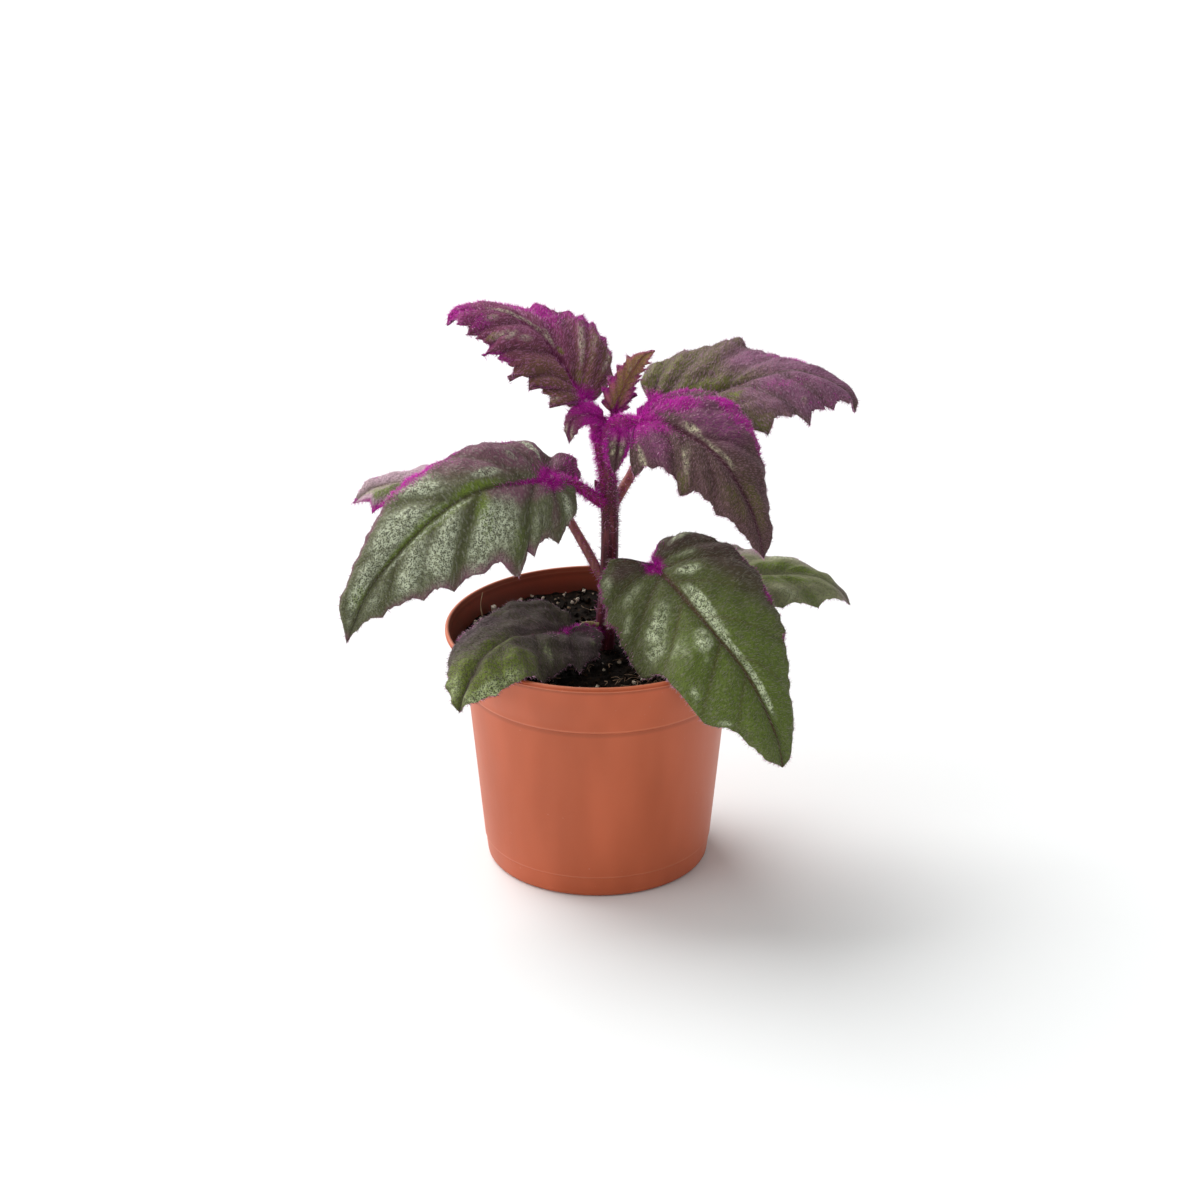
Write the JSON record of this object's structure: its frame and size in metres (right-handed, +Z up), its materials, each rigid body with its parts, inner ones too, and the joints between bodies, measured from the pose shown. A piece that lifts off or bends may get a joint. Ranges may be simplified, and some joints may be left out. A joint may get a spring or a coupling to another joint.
{
  "type": "potted houseplant",
  "caption": "Purple passion plant with velvety toothed leaves on a short upright stem, growing in a round tapered terracotta-coloured plastic nursery pot.",
  "frame": {"origin": "centre of the flat foot of the pot, on the surface it stands on", "axes": "+Z up along the pot's axis; the picture's viewer stands at -Y, with +X to the right"},
  "size_m": [0.1971, 0.1234, 0.2276],
  "materials": {
    "terracotta_plastic": "satin moulded polypropylene",
    "peat_mix": "rough, damp, fibrous",
    "stem_skin": "velvety with magenta hairs",
    "leaf_silver_green": "velvety, quilted, silvery green",
    "leaf_olive": "velvety, quilted, olive with purple hairs",
    "leaf_purple": "velvety, quilted, brown-purple with magenta hairs",
    "perlite": "matt, crumbly",
    "dry_fibre": "dry, matt"
  },
  "bodies": {
    "root": {"pot": "terracotta_plastic", "potting_soil": "peat_mix", "main_stem": "stem_skin", "leaf_middle_left": "leaf_silver_green", "leaf_middle_left_back": "leaf_olive", "leaf_upper_left": "leaf_purple", "leaf_young_top": "leaf_purple", "leaf_upper_right_back": "leaf_olive", "leaf_upper_right_front": "leaf_purple", "leaf_lower_right_front": "leaf_silver_green", "leaf_lower_right_back": "leaf_silver_green", "leaf_lower_left_front": "leaf_silver_green", "perlite_grain_01": "perlite", "perlite_grain_02": "perlite", "perlite_grain_03": "perlite", "perlite_grain_04": "perlite", "perlite_grain_05": "perlite", "perlite_grain_06": "perlite", "perlite_grain_07": "perlite", "perlite_grain_08": "perlite", "perlite_grain_09": "perlite", "perlite_grain_10": "perlite", "perlite_grain_11": "perlite", "perlite_grain_12": "perlite", "perlite_grain_13": "perlite", "perlite_grain_14": "perlite", "perlite_grain_15": "perlite", "perlite_grain_16": "perlite", "perlite_grain_17": "perlite", "perlite_grain_18": "perlite", "root_fibre": "dry_fibre", "dried_strand": "dry_fibre"}
  },
  "joints": []
}
